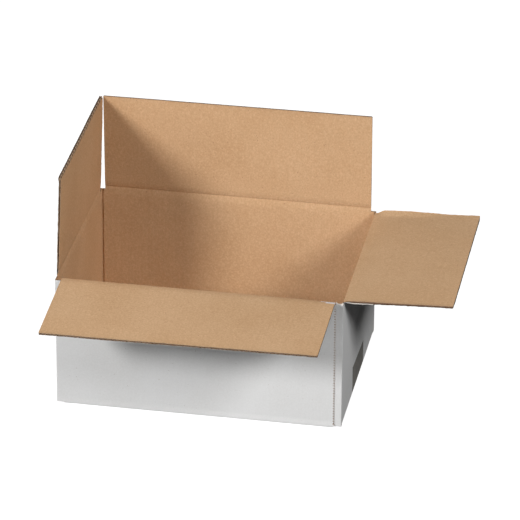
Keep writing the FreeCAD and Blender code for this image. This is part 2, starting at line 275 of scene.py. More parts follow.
paperClouds = {
    # scale, detail, and the levels between which a cloud shows
    "large": (9, 4, 0.35, 0.65), "mottle": (300, 4, 0.38, 0.66), "fibres": (430, 3, 0.4, 0.66),
    "specks": (420, 2), "speckBand": 0.03, "fibreStretch": (1, 0.8, 0.7), "grain": 0.35,
    "bump": (0.35, 0.06 * mm), "torn": (650, 5, 0.35, 0.68), "tornLarge": (45, 3, 0.35, 0.7),
    "tornShare": 0.4, "tornBump": (0.5, 0.1 * mm), "coarse": 0.7,
}
# each liner's second colour is a random darker tone and also the dark end of the painted flute shade; wave sets
# how strong that painted shade is
linerLooks = {
    "white": {
        "plain": (0.785, 0.784, 0.782), "wornAndFluteShade": (0.735, 0.73, 0.72), "fibre": (0.825, 0.823, 0.82),
        "speck": (0.38, 0.33, 0.28), "speckShare": 0.735, "wave": 0.035, "roughness": 0.6, "gloss": 0.0,
        "mottle": 0.5, "fibres": 0.3,
    },
    "kraft": {
        "plain": (0.61, 0.395, 0.228), "wornAndFluteShade": (0.535, 0.328, 0.175), "fibre": (0.71, 0.477, 0.29),
        "speck": (0.36, 0.19, 0.10), "speckShare": 0.70, "wave": 0.05, "roughness": 0.85, "gloss": 0.05,
        "mottle": 0.75, "fibres": 0.7,
    },
}


def linerMaterial(kind, axis):
    look = linerLooks[kind]
    material, tree, shader, place = newMaterial(f"{kind}Liner{axis}")
    clouds = paperClouds
    cloudy = cloudLevels(tree, place, clouds["large"])
    mottle = cloudLevels(tree, place, clouds["mottle"], roughness=clouds["coarse"])
    fibres = cloudLevels(tree, place, clouds["fibres"], stretch=clouds["fibreStretch"])
    share = look["speckShare"]
    specks = cloudLevels(tree, place, (*clouds["specks"], share, share + clouds["speckBand"]))
    wave = fluteWave(tree, place, axis)
    colour = tinted(tree, cloudy, look["plain"], look["wornAndFluteShade"])
    colour = tinted(tree, mottle, colour, look["fibre"], look["mottle"])
    colour = tinted(tree, fibres, colour, look["wornAndFluteShade"], look["fibres"])
    # painted shade: the colour darkens along the flutes with the wave, standing in for the shade of the
    # washboard ridges
    shade = maths(tree, "MULTIPLY_ADD", wave, look["wave"], look["wave"])
    colour = tinted(tree, shade, colour, look["wornAndFluteShade"])
    colour = tinted(tree, specks, colour, look["speck"])
    setShader(tree, shader, colour, look["roughness"], look["gloss"])
    grain = maths(tree, "MULTIPLY", mottle, clouds["grain"])
    addBump(tree, shader, maths(tree, "ADD", grain, wave), *clouds["bump"])
    return material


def cutMaterial(name, light, dark):
    # torn fibres along a cut or inside the flutes
    material, tree, shader, place = newMaterial(name)
    clouds = paperClouds
    fibres = cloudLevels(tree, place, clouds["torn"], roughness=clouds["coarse"])
    cloudy = cloudLevels(tree, place, clouds["tornLarge"])
    colour = tinted(tree, fibres, light, dark)
    colour = tinted(tree, cloudy, colour, dark, clouds["tornShare"])
    setShader(tree, shader, colour, 0.9, 0.2)
    addBump(tree, shader, fibres, *clouds["tornBump"])
    return material


whiteX, whiteY = linerMaterial("white", "X"), linerMaterial("white", "Y")
kraftX, kraftY = linerMaterial("kraft", "X"), linerMaterial("kraft", "Y")
cutPaper = cutMaterial("cutPaper", (0.60, 0.45, 0.31), (0.42, 0.29, 0.185))
# the fluted paper is darkened well below its own kraft colour, as painted shade inside the flutes
shadedFlutePaper = cutMaterial("shadedFlutePaper", (0.26, 0.15, 0.09), (0.17, 0.09, 0.05))
# painted shade: the faces between the liners and the crushed flutes of a fold are given a near-black brown
insideShadePaper = cutMaterial("insideShadePaper", (0.15, 0.085, 0.05), (0.09, 0.05, 0.03))
# the walls' cut edges: cut board colour darkened with painted shade of the open flutes and of the notches
# between the teeth
wallCutWithShade = cutMaterial("wallCutWithShade", (0.36, 0.22, 0.13), (0.22, 0.125, 0.07))
# near-white cut paper: the white liners' own cut edges, and a painted highlight on the glue tab's cut top
whiteCutAndHighlight = cutMaterial("whiteCutAndHighlight", (0.80, 0.78, 0.75), (0.64, 0.59, 0.52))
print("materials ready")


def layLiner(name, span, reach, level, outwards, papers):
    # one flat paper of the board, upright on its crease; papers are its face and its cut edge
    size = (span[1] - span[0], reach[1] - reach[0])
    turn = math.pi / 2 if outwards else -math.pi / 2
    bpy.ops.mesh.primitive_plane_add(size=1, rotation=(turn, 0, 0),
                                     location=(sum(span) / 2, level, sum(reach) / 2))
    liner = bpy.context.object
    liner.name = name
    liner.scale = (size[0], size[1], 1)
    bpy.ops.object.transform_apply(location=True, rotation=True, scale=True)
    for paper in papers:
        liner.data.materials.append(paper)
    return liner


def rollFlute(name, span, reach):
    # one wave of the fluted paper, repeated along the board
    pitch, points = board["flute"], board["flutePoints"]
    swing = (board["thick"] - 2 * board["liner"] - board["medium"]) / 2
    flute = layLiner(name, (span[0], span[0] + pitch), reach, board["thick"] / 2, True, [shadedFlutePaper, cutPaper])
    editing(flute)
    columns = [span[0] + pitch * i / points for i in range(points + 1)]
    sliceAt(along, columns[1:-1])
    for i, column in enumerate(columns):
        pickVerts(flute, lambda co: near(co.x, column))
        slide((0, swing * math.sin(2 * math.pi * i / points), 0))
    leaveEditing()
    row = flute.modifiers.new("row", "ARRAY")
    row.use_relative_offset, row.use_constant_offset = False, True
    row.constant_offset_displace = (pitch, 0, 0)
    row.count = math.ceil((span[1] - span[0]) / pitch)
    row.use_merge_vertices = True
    row.merge_threshold = 0.01 * mm
    applyAll(flute)
    return flute


cuts = {
    # the cut edges of a board; bands run in from an edge, rises and tops up from the crease
    "rim": 1.5 * mm,
    "flapShort": 0.25 * mm,  # a top flap is cut a little short of the opening's middle
    "fluteBack": 0.2 * mm,  # the fluted paper stops short of the free edge
    "fluteSide": 0.3 * mm, "flareBand": 4 * mm,
    "calmShare": 0.3,  # what is left of a flare at the flap's foot
    "calmRise": 28 * mm, "tipBand": 7 * mm, "peelBand": 9 * mm, "peelRise": 26 * mm,
    "peelTop": 90 * mm, "peelInner": 0.3, "fringeBand": 3 * mm, "fringeFrom": 18 * mm,
    "fringeFade": 30 * mm, "fringePaint": (1.4 * mm, 45 * mm), "sideShare": 1.3, "sideInner": 0.35,
    "humpBand": 16 * mm, "humpRise": (6 * mm, 10 * mm), "humpFall": (65 * mm, 70 * mm),
}
boardLook = {
    "corner": 1.5 * mm,
    "flare": 0.55 * mm,  # each liner stands this far off at a cut edge
    "innerShort": 0.0,  # the inner liner ends this far before the outer one
    "sideRuffle": 0.0, "sideBand": 8 * mm, "sideMiddle": 0.6,
    "twist": 0.0,  # degrees over the flap's length
    "bow": 1.6 * mm, "bowFrom": 70 * mm, "edgeRuffle": 0.5 * mm, "edgeBand": 9 * mm,
    "strips": 12 * mm,
    "tipFlare": 0.0,  # the outer liner bends away along the free edge
    "paleTip": 0.0,  # every second flute keeps the pale cut-paper colour this far down, a painted highlight of lit crests beside the others' painted shade
    "fringe": 0.0,  # the peeled liner's torn edge reaches out this far
    "highlightFoot": False,  # the painted highlight at the crease's end runs on into the flap
    "trim": None,  # cut off the free edge at its two ends
    "crushed": 0.0,  # the flutes start this far from the fold
    "footPress": 0.0,
    "peel": 0.0,  # outer liner let go along the first side, near the crease
    "hump": 0.0,  # the second side stands up near the crease
    "leanMore": 0.0,
}


def makeBoard(name, span, reach, faces, look):
    # outer liner, fluted paper and inner liner; X along the crease, Y inwards, Z up the flutes
    low, high = reach
    start, end = span
    outer = layLiner(f"{name}_outer", span, reach, 0, True, [faces[0], insideShadePaper, whiteCutAndHighlight])
    inner = layLiner(f"{name}_inner", span, (low, high - look["innerShort"]), board["thick"], False,
                     [faces[1], insideShadePaper, cutPaper])
    medium = rollFlute(f"{name}_medium", span, (low + look["crushed"], high - cuts["fluteBack"]))
    tip, strips, rim = high - look["paleTip"], look["strips"], cuts["rim"]
    for paper, offset, thick, back in ((outer, -1, board["liner"], 1), (inner, -1, board["liner"], 1),
                                       (medium, 0, board["medium"], 0)):
        editing(paper)
        if paper is medium:
            sliceAt(upward, evenly(low, high, strips)[1:] + ([tip] if look["paleTip"] else []))
            cutAway(along * (end - cuts["fluteSide"]), along)
        else:
            sliceAt(upward, evenly(low, high, strips / 4) + [high - rim])
            sliceAt(along, evenly(start, end, strips / 3) + [start + rim, end - rim])
        for place, side in ((start, -1), (end, 1)):
            cutAway(Vector((place - side * look["corner"], 0, high)), Vector((side, 0, 1)).normalized())
        if look["trim"]:
            first, last = look["trim"]
            cutAway(Vector((start, 0, high - first)), Vector((last - first, 0, end - start)).normalized())
        leaveEditing()
        if paper is not medium:
            flareEdges(paper, span, reach, look, paper is outer)
        elif look["paleTip"]:
            # painted highlight: every second flute's top is painted pale for the lit crests
            repaint(paper, cutPaper, lambda centre, normal: centre.z > tip
                    and int((centre.x - start) / board["flute"]) % 2 == 0)
        thicken(paper, thick, offset, back=back, rim=back + 1)
    if look["fringe"]:
        wide, tall = cuts["fringePaint"]
        repaint(outer, whiteCutAndHighlight, lambda centre, normal: centre.x < start + wide and centre.z < low + tall)
    return joined(name, [outer, inner, medium])


def flareEdges(paper, span, reach, look, isOuter):
    # the liners stand a little apart where the board is cut, and wave along the cut sides
    way = -1 if isOuter else 1
    fromSide = lambda co: min(co.x - span[0], span[1] - co.x)
    fromTop = lambda co: reach[1] - co.z
    calm = lambda co: cuts["calmShare"] + (1 - cuts["calmShare"]) * rising(co.z, reach[0], cuts["calmRise"])
    push = lambda texture, strength, wanted, middle=0.0: ruffle(paper, texture, strength, wanted, "Y", middle)
    push(nibble, 2 * way * look["flare"],
         lambda co: (1 - min(fromTop(co), fromSide(co)) / cuts["flareBand"]) * calm(co))
    if look["tipFlare"] and isOuter:
        push(None, -look["tipFlare"], lambda co: (1 - fromTop(co) / cuts["tipBand"]) * calm(co))
    if look["footPress"] and not isOuter:
        push(None, -look["footPress"], lambda co: 1 - (co.z - reach[0]) / look["crushed"])
    if look["peel"]:
        peeled = lambda co: ((1 - (co.x - span[0]) / cuts["peelBand"])
                             * rising(co.z, reach[0], cuts["peelRise"]) * (1 - co.z / cuts["peelTop"]))
        push(crumple, way * look["peel"] * (1 if isOuter else cuts["peelInner"]), peeled, 0.1)
    if look["fringe"] and isOuter:
        torn = lambda co: ((1 - (co.x - span[0]) / cuts["fringeBand"])
                           * (1 - rising(co.z, cuts["fringeFrom"], cuts["fringeFade"])))
        ruffle(paper, crumple, -look["fringe"], torn, "X", 0.0)
    if look["sideRuffle"]:
        wavy = lambda co: ((1 - fromSide(co) / look["sideBand"]) * (cuts["sideShare"] - co.z / reach[1])
                           * calm(co))
        push(crumple, look["sideRuffle"] * (1 if isOuter else cuts["sideInner"]), wavy,
             look["sideMiddle"] if isOuter else 0.5)


def ruffle(piece, texture, strength, wanted, direction="Y", middle=0.5):
    # uneven paper: the picked points take a small cloudy shift
    group = piece.vertex_groups.new(name="ruffled")
    for vert in piece.data.vertices:
        share = wanted(vert.co)
        if share > 0:
            group.add([vert.index], min(share, 1.0), "REPLACE")
    shift = piece.modifiers.new("ruffle", "DISPLACE")
    shift.texture, shift.strength, shift.mid_level = texture, strength, middle
    shift.direction, shift.vertex_group = direction, group.name
    shift.texture_coords = "LOCAL"
    applyAll(piece)
    piece.vertex_groups.clear()


def cloudTexture(name, size):
    texture = bpy.data.textures.new(name, "CLOUDS")
    texture.noise_scale = size
    return texture


bow = cloudTexture("bow", 0.16)
crumple = cloudTexture("crumple", 0.011)
nibble = cloudTexture("nibble", 0.004)


def setOnCrease(piece, hinge, turn, lean):
    piece.rotation_euler = (Matrix.Rotation(turn, 3, "Z") @ Matrix.Rotation(lean, 3, "X")).to_euler()
    piece.location = hinge
    settle(piece)


walls = {
    "corner": 3.0 * mm,  # outside radius of a folded corner
    "cornerPoints": 5,
    "squareness": 0.2,  # how much further out a bend's middle stands than a true arc
    "footSquareness": 0.3,
    "trench": (3.1 * mm, 2.0 * mm),  # crushed line in the rear left corner: width and depth
    "slotFloor": 238.0 * mm, "slotRoof": 1.6 * mm,
    "plainTop": 233.7 * mm,  # height where the plain ring ends
    "plainFoot": 6.3 * mm,
    "sideFoot": 3.3 * mm,  # side flaps lie one board above the long ones
    "seam": 0.5 * mm,
    "innerFlapStart": 40.0 * mm,  # the side flaps' fluted board starts this far in
    "cornerScore": 3.4 * mm,  # half width of the pressed line in each inner corner
    "cornerPress": 1.0 * mm, "cornerWander": 0.9 * mm,
    "topPress": 0.75 * mm,  # the inner liner is pressed back towards a top crease
    "footScore": 9.5 * mm,  # height of the score line along the foot of a wall
    "footGroove": 0.35 * mm, "foldSteps": 4,
    "seamRise": 0.14 * mm,  # the long flaps rise a hair over the tape
    "cornerClear": 5 * mm,  # a pressed wall is pressed no nearer its corners than this
    "rows": 6 * mm, "lastRow": 2.7 * mm,
    # how much of topPress a row takes, on a side wall and on a long wall
    "lastRowPress": (0.5, 0.15), "plainTopPress": (1.0, 0.47),
    # the crushed corners wander within this band, from this height up
    "wanderBand": 1.2 * mm,
    "wanderFrom": 12 * mm, "trenchWander": 1.7 * mm,
}
joint = {
    "setback": 12.5 * mm, "tab": 30.0 * mm, "tabFall": 11.0 * mm, "toothPitch": 4.9 * mm,
    "toothDepth": 2.8 * mm, "tabRise": 3.0 * mm,
    "press": 1.1 * mm,  # the panel is squeezed thinner at its toothed end
    "pressBand": 9.0 * mm,
    "rimFall": 1.3 * mm,  # the tab's outer top edge is pressed down
    "rimBand": 1.2 * mm,
    "tabShow": 12 * mm,  # how far in from the front the tab's cut top reaches
    "toothSlide": 0.9,  # a valley sits this share of half a tooth below the middle
    "heelBack": 0.4 * mm,  # the panel's end below its teeth stands back off the tab
}

flapSides = {}
for hinge in frame["joints"]:
    flap = hinge["child"]
    axis, foot = Vector(hinge["axis"]), Vector(hinge["pos_m"])
    ends = [(corner - foot).dot(axis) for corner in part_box(flap)]
    flapSides[flap] = {
        "hinge": foot, "span": (min(ends), max(ends)),
        "turn": math.atan2(axis.y, axis.x), "lean": math.radians(-90 - hinge["range_deg"][0]),
    }
creaseStep = flapSides["front_flap"]["hinge"].z - flapSides["left_flap"]["hinge"].z
longReach = cartonHigh.y - walls["seam"]
sideReach = longReach + creaseStep
longTop = flapSides["front_flap"]["hinge"].z - board["mitre"]
for flap, facts in flapSides.items():
    isLong = flap in ("front_flap", "rear_flap")
    facts["papers"] = (whiteX, kraftX) if isLong else (whiteY, kraftY)
    facts["reach"] = (longReach if isLong else sideReach) - cuts["flapShort"]


def drawWalls():
    # one sheet: from the front panel round the carton to the glue tab behind it
    low, high = cartonLow, cartonHigh
    jointEnd = high.x - joint["setback"]
    ring = (walls["plainFoot"], walls["plainTop"])
    sheet = layLiner("carton_walls", (low.x, jointEnd), ring, low.y, True,
                     [whiteX, kraftX, wallCutWithShade, whiteY, kraftY, wallCutWithShade, whiteCutAndHighlight])
    editing(sheet)
    pickEdges(sheet, lambda co: near(co.x, low.x))
    drawOut((0, high.y - low.y, 0))
    drawOut((high.x - low.x, 0, 0))
    drawOut((0, low.y - high.y + board["thick"], 0))
    drawOut((-joint["setback"], 0, 0))
    drawOut((-joint["tab"], 0, 0))
    tabFace = low.y + board["thick"]
    tabEnd = jointEnd - joint["tab"]
    for height, way in ((ring[1], -1), (ring[0], 1)):
        pickVerts(sheet, lambda co: near(co.x, tabEnd) and near(co.y, tabFace) and near(co.z, height))
        slide((0, 0, way * joint["tabFall"]))

    # rounded upright corners
    pickEdges(sheet, lambda co: near(abs(co.x), high.x)
              and (near(co.y, high.y) or near(co.y, low.y if co.x < 0 else tabFace)))
    bpy.ops.mesh.bevel(offset=walls["corner"], segments=walls["cornerPoints"], affect="EDGES")

    # slots, as columns that rise or stop
    front, rear, left, right = (flapSides[wall + "_flap"]["span"]
                                for wall in ("front", "rear", "left", "right"))
    rear, left = (-rear[1], -rear[0]), (-left[1], -left[0])
    front = (front[0], jointEnd - joint["toothDepth"] - 0.1 * mm)
    sliceAt(along, sorted({*front, *rear}))
    sliceAt(across, sorted({*left, *right}))
    slack = 0.02 * mm

    sides = {
        "front": (1, low.y, 0, front), "rear": (1, high.y, 0, rear),
        "left": (0, low.x, 1, left), "right": (0, high.x, 1, right),
    }

    def onWall(co, wall):
        facing, level, running, span = sides[wall]
        return near(co[facing], level) and span[0] - slack < co[running] < span[1] + slack

    def atCorner(co):
        return not any(onWall(co, wall) for wall in sides)

    def pickRim(level, wanted):
        pickEdges(sheet, lambda co: near(co.z, level), wanted)

    onTab = lambda co: near(co.y, tabFace) and co.x < jointEnd
    for start, end in ((ring[1], walls["slotFloor"]), (ring[0], walls["slotRoof"])):
        pickRim(start, lambda co: atCorner(co) and not onTab(co))
        drawOut((0, 0, end - start))
    for wall in ("front", "rear"):
        pickRim(ring[1], lambda co: onWall(co, wall))
        drawOut((0, 0, longTop - ring[1]))

    # bottom folds, then the flaps in to their free edges
    fold, steps = walls["corner"], walls["foldSteps"]
    for wall, side in (("front", -1), ("rear", 1)):
        pickRim(ring[0], lambda co: onWall(co, wall))
        drawOut((0, 0, fold - ring[0]))
        bpy.ops.mesh.spin(steps=steps, angle=side * math.pi / 2, axis=along,
                          center=(0, side * (high.y - fold), fold))
        drawOut((0, side * (fold + walls["seam"] - high.y), 0))
    for wall, side in (("left", -1), ("right", 1)):
        pickRim(ring[0], lambda co: onWall(co, wall))
        bpy.ops.mesh.spin(steps=steps, angle=-side * math.pi / 2, axis=across,
                          center=(side * (high.x - fold), 0, walls["sideFoot"] + fold))
        drawOut((side * (fold - walls["innerFlapStart"]), 0, 0))

    # serrated end of the front panel, over the glue tab
    teeth = int((ring[1] - ring[0]) / joint["toothPitch"])
    pickEdges(sheet, lambda co: near(co.x, jointEnd) and near(co.y, low.y)
              and ring[0] - slack < co.z < ring[1] + slack)
    bpy.ops.mesh.subdivide(number_cuts=2 * teeth - 1)
    halfTooth = (ring[1] - ring[0]) / (2 * teeth)
    pickVerts(sheet, lambda co: near(co.x, jointEnd) and near(co.y, low.y)
              and ring[0] < co.z < ring[1] and round((co.z - ring[0]) / halfTooth) % 2 == 1)
    slide((-joint["toothDepth"], 0, -joint["toothSlide"] * halfTooth))
    pickVerts(sheet, lambda co: near(co.x, jointEnd) and near(co.y, low.y) and co.z < ring[0] - slack)
    slide((-joint["heelBack"], 0, 0))

    # the glue tab's cut top slopes down to the corner
    pickVerts(sheet, lambda co: near(co.y, tabFace) and near(co.z, walls["slotFloor"]) and near(co.x, jointEnd))
    slide((0, 0, joint["tabRise"]))

    # the long flaps rise towards the seam
    pickVerts(sheet, lambda co: near(abs(co.y), walls["seam"]) and co.z < 1 * mm)
    slide((0, 0, walls["seamRise"]))
    leaveEditing()
    return sheet


def thickenWalls(piece):
    # front and rear faces carry flutes across X, the side walls and their flaps across Y
    upper = walls["sideFoot"] - 0.05 * mm
    repaint(piece, whiteY, lambda centre, normal: abs(normal.x) > abs(normal.y) + 0.01
            or (abs(normal.z) > 0.5 and centre.z > upper))
    thicken(piece, board["thick"], -1, even=True, back=1, rim=2)
    editing(piece)
    bpy.ops.mesh.select_all(action="SELECT")
    bpy.ops.mesh.remove_doubles(threshold=0.02 * mm)
    leaveEditing()


def highlightTabTop(piece):
    # the glue tab's cut top is pressed down at its outer edge and painted near-white as a painted highlight
    front, side = cartonLow.y, cartonHigh.x
    tabLine, band = side - joint["setback"], joint["rimBand"]

    def onRim(co):
        outside = co.y < front + board["thick"] + band or co.x > side - band
        return (outside and co.z > walls["slotFloor"] - 0.3 * mm and co.x > tabLine - 0.1 * mm
                and front + 0.5 * mm < co.y < front + joint["tabShow"])

    editing(piece)
    pickVerts(piece, onRim)
    slide((0, 0, -joint["rimFall"]))
    leaveEditing()
    repaint(piece, whiteCutAndHighlight, lambda centre, normal: normal.z > 0.3 and centre.z > walls["slotFloor"] - 1.5 * mm
            and centre.x > tabLine - 1 * mm and centre.y < front + joint["tabShow"])


def squareBend(piece, centre, ways, steps, share):
    # a bend in board is squarer than a true arc
    line = ways[0].cross(ways[1])
    for i in range(1, steps):
        angle = math.pi / 2 * i / steps
        way = ways[0] * math.cos(angle) + ways[1] * math.sin(angle)
        at = centre + way * walls["corner"]
        pickVerts(piece, lambda co: ((co - at) - line * (co - at).dot(line)).length < 0.06 * mm)
        further = min(share * math.sin(2 * angle), 0.99 / max(math.cos(angle), math.sin(angle)) - 1)
        slide(way * walls["corner"] * further)


def squareBends(piece):
    fold = walls["corner"]
    endX, endY = cartonHigh.x - fold, cartonHigh.y - fold
    editing(piece)
    for sideX, sideY in ((-1, -1), (-1, 1), (1, 1), (1, -1)):
        recess = board["thick"] if (sideX, sideY) == (1, -1) else 0
        share = walls["footSquareness"] if recess else walls["squareness"]
        squareBend(piece, Vector((sideX * endX, sideY * (endY - recess), 0)), (along * sideX, across * sideY),
                   walls["cornerPoints"], share)
    for side in (-1, 1):
        for centre, way in ((Vector((0, side * endY, fold)), across),
                            (Vector((side * endX, 0, walls["sideFoot"] + fold)), along)):
            squareBend(piece, centre, (way * side, -upward), walls["foldSteps"], walls["footSquareness"])
    leaveEditing()


def scoreWalls(piece):
    # board crushed beside its folds, down each inner corner and under each top crease
    low, high, thick = cartonLow, cartonHigh, board["thick"]
    inX, inRear, inFront, inTab = high.x - thick, high.y - thick, low.y + thick, low.y + 2 * thick
    score, footScore = walls["cornerScore"], walls["footScore"]
    trenchWide, trenchDeep = walls["trench"]
    jointEnd = high.x - joint["setback"]
    topBand = walls["plainTop"] - walls["rows"]
    lastRow = walls["plainTop"] - walls["lastRow"]
    slack = 0.05 * mm
    editing(piece)
    sliceAt(along, [-inX + trenchWide, -inX + score, jointEnd - joint["pressBand"], inX - score])
    sliceAt(across, [inFront + score, inTab + score, inRear - score])
    sliceAt(upward, [footScore] + evenly(footScore, topBand, walls["rows"]) + [topBand, lastRow])

    def inCorner(co):
        if not (near(abs(co.x), inX) and walls["plainFoot"] < co.z):
            return False
        return near(co.y, inRear) or near(co.y, inTab if co.x > 0 else inFront)

    pickVerts(piece, lambda co: near(co.y, inRear) and co.x < -inX + trenchWide + slack
              and co.z > walls["plainFoot"] - slack)
    slide((0, trenchDeep, 0))
    for sideX, sideY in ((-1, -1), (1, -1), (1, 1)):
        pickVerts(piece, lambda co: inCorner(co) and co.x * sideX > 0 and co.y * sideY > 0)
        slide((sideX * walls["cornerPress"], sideY * walls["cornerPress"], 0))

    # the panel's end is squeezed before the foot's groove is drawn
    pickVerts(piece, lambda co: near(co.y, low.y) and jointEnd - joint["toothDepth"] - 0.3 * mm < co.x
              and co.z > footScore - 0.1 * mm)
    slide((0, joint["press"], 0))
    clear, press = walls["cornerClear"], walls["topPress"]
    walled = ((0, high.x, inX, 1, inRear), (1, high.y, inRear, 0, inX))
    presses = {lastRow: walls["lastRowPress"], walls["plainTop"]: walls["plainTopPress"], longTop: (0, 1.0)}
    for side in (-1, 1):
        for (facing, outer, inner, running, reach), way, n in zip(walled, (along, across), (0, 1)):
            for height, shares in presses.items():
                pickVerts(piece, lambda co: near(co.z, height) and near(co[facing], side * inner)
                          and abs(co[running]) < reach - clear)
                slide(way * side * press * shares[n])
            pickVerts(piece, lambda co: near(co.z, footScore) and near(co[facing], side * outer)
                      and abs(co[running]) < reach)
            slide(-way * side * walls["footGroove"])
    leaveEditing()

    band, start = walls["wanderBand"], walls["wanderFrom"]

    def wanders(co):
        besideCorner = min(abs(co.y - inRear), abs(co.y - inTab), abs(co.y - inFront)) < band
        return 1 if abs(abs(co.x) - inX) < band and besideCorner and co.z > start else 0

    def alongTrench(co):
        inTrench = inRear - 0.1 * mm < co.y < inRear + trenchDeep + 0.1 * mm
        return 1 if inTrench and trenchWide - 0.3 * mm < co.x + inX < score + 0.3 * mm and co.z > start else 0

    for direction in ("X", "Y"):
        ruffle(piece, crumple, walls["cornerWander"], wanders, direction)
    ruffle(piece, crumple, walls["trenchWander"], alongTrench, "X")


cartonWalls = drawWalls()
thickenWalls(cartonWalls)
squareBends(cartonWalls)
scoreWalls(cartonWalls)
highlightTabTop(cartonWalls)
softenShading(cartonWalls)
print("walls drawn:", len(cartonWalls.data.vertices), "points")

tape = {
    "film": 0.06 * mm,
    "lift": 0.03 * mm,  # middle of the film above the floor
    "flatEnd": 240.65 * mm,
    "slope": 23.7,  # degrees, up to the side wall's foot
    "slopeLength": 8.34 * mm, "bendRadius": 3.18 * mm, "slices": 1.6 * mm, "tooth": 0.9 * mm,
    "endFall": 7.0 * mm,  # the ends are cut on a slant
    "wrinkle": 0.14 * mm, "bendSteps": 5, "wallRows": 4 * mm, "looseFrom": 8 * mm,
    "patches": (60, 4, 0.4, 0.62), "streaks": (160, 3, 0.42, 0.7), "streakStretch": (1, 0.08, 1),
    "streakShare": 0.35, "bump": (0.25, 0.05 * mm),
}


def tapeMaterial():
    # clear film on brown board: a dark grey, partly the film's own tone and partly painted reflection of a dark
    # surround, with no gloss of its own; a little uneven where the glue has taken
    material, tree, shader, place = newMaterial("tapeFilm")
    patches = cloudLevels(tree, place, tape["patches"])
    streaks = cloudLevels(tree, place, tape["streaks"], stretch=tape["streakStretch"])
    colour = tinted(tree, patches, (0.25, 0.24, 0.225), (0.30, 0.28, 0.25))
    colour = tinted(tree, streaks, colour, (0.21, 0.205, 0.195), tape["streakShare"])
    setShader(tree, shader, colour, 0.4)
    addBump(tree, shader, streaks, *tape["bump"])
    return material


def makeTape():
    low, high = carton["bottom_tape"]
    film = layLiner("tape_strip", (-tape["flatEnd"], tape["flatEnd"]), (low.y, high.y), 0, True,
                    [tapeMaterial()])
    film.rotation_euler = (-math.pi / 2, 0, 0)
    film.location = (0, 0, tape["lift"])
    settle(film)
    slope = math.radians(tape["slope"])
    editing(film)
    for side in (-1, 1):
        pickEdges(film, lambda co: near(co.x, side * tape["flatEnd"]))
        step = Vector((side * math.cos(slope), 0, math.sin(slope))) * tape["slopeLength"]
        drawOut(step)
        foot = Vector((side * tape["flatEnd"], 0, tape["lift"])) + step
        centre = foot + Vector((-side * math.sin(slope), 0, math.cos(slope))) * tape["bendRadius"]
        bpy.ops.mesh.spin(steps=tape["bendSteps"], angle=side * (math.pi / 2 - slope), axis=across,
                          center=centre)
        drawOut((0, 0, high.z - centre.z))
        sliceAt(upward, evenly(centre.z, high.z, tape["wallRows"])[:-1])
    slices = evenly(low.y, high.y, tape["slices"])
    sliceAt(across, slices)
    fall = tape["endFall"]
    cutAway(Vector((0, low.y, high.z)), Vector((0, fall, high.y - low.y)).normalized())
    onSlant = lambda co: near(co.z, high.z - fall * (co.y - low.y) / (high.y - low.y))
    pickVerts(film, lambda co: onSlant(co) and round((co.y - low.y) / (slices[0] - low.y)) % 2 == 1)
    slide((0, 0, -tape["tooth"]))
    leaveEditing()
    ruffle(film, crumple, tape["wrinkle"], lambda co: 1 if co.z > tape["looseFrom"] else 0, "NORMAL", 0.0)
    thicken(film, tape["film"], 0)
    softenShading(film, 50)
    return film


tapeStrip = makeTape()
print("tape laid:", len(tapeStrip.data.vertices), "points")

innerFlaps = []
for name, side, topFlap in (("left_inner_flap", -1, "left_flap"), ("right_inner_flap", 1, "right_flap")):
    # fluted end of a side wall's bottom flap, seen inside the carton
    start, end = flapSides[topFlap]["span"]
    flap = makeBoard(name, (-end, -start), (walls["innerFlapStart"], sideReach), (whiteY, kraftY),
                     {**boardLook, "strips": 40 * mm})
    flap.rotation_euler = (Matrix.Rotation(side * math.pi / 2, 3, "Z") @ Matrix.Rotation(math.pi / 2, 3, "X")
                           @ Matrix.Rotation(math.pi, 3, "Y")).to_euler()
    flap.location = (side * cartonHigh.x, 0, walls["sideFoot"])
    settle(flap)
    softenShading(flap)
    innerFlaps.append(flap)
print("inner bottom flaps laid")

score = {
    "press": 0.75 * mm,  # how far the inner liner is pressed in beside the fold
    "footPress": 0.9 * mm,  # the inner liner stays pressed in this much where a fold ends
    "columns": 5 * mm,
    "bumps": 0.45 * mm,
    "band": 3.6 * mm,  # half width of the crumpled line
    "bendHalf": 3.2 * mm,  # the blend runs this far each side of the crease
    "sharpLean": math.radians(20),  # a flap leaning further than this is folded back
}
# the papers of a fold, as shifts in depth and height
uprightFold = {
    "groove": 1.85 * mm,  # depth of the score on the inside of the flap
    "rise": 1.7 * mm, "wallSide": (-0.25 * mm, -3.0 * mm), "grooveFoot": (0.2 * mm, -0.9 * mm),
    "grooveHead": (0.2 * mm, 0.8 * mm), "flapSide": (-0.55 * mm, 3.4 * mm),
    "middleFoot": (-0.3 * mm, -1.2 * mm), "middleHead": (-0.1 * mm, 3.4 * mm), "middleIn": 0.3 * mm,
    "middleThick": 0.3 * mm, "outerHalf": 1.2 * mm, "outerGroove": 0.3 * mm,
}
backFold = {
    "crest": 1.2 * mm,  # inner bend radius
    "wallSide": (0.4 * mm, -2 * mm), "flapSide": (0.25 * mm, 2 * mm), "middleShare": 0.45,
    "middleFoot": (0.2 * mm, -1.6 * mm), "middleHead": (0.1 * mm, 2 * mm), "middleIn": 0.4 * mm,
    "middleThick": 0.6 * mm, "outerHalf": 1 * mm, "spinSteps": 7,
}
splitFold = {
    "lip": 0.45 * mm, "gap": 0.25 * mm, "middle": (0.8 * mm, 2 * mm), "outerGap": 0.1 * mm,
    "bumps": 1.53 * mm,
    "bumpDepth": 0.85 * mm,  # only points further in than this are crumpled
    "torn": (212 * mm, 238 * mm),  # where the front crease's end is painted with the white liner colour as a painted highlight
    "highlightWidths": (1.8 * mm, 5.2 * mm, 8 * mm),  # narrow, wide, and how far on it widens
    "highlightFoot": (9 * mm, 4 * mm), "crush": 0.3 * mm, "crushFrom": (190 * mm, 205 * mm, 212 * mm),
    "crushDepth": 0.7 * mm, "crushBand": 3.4 * mm,
}
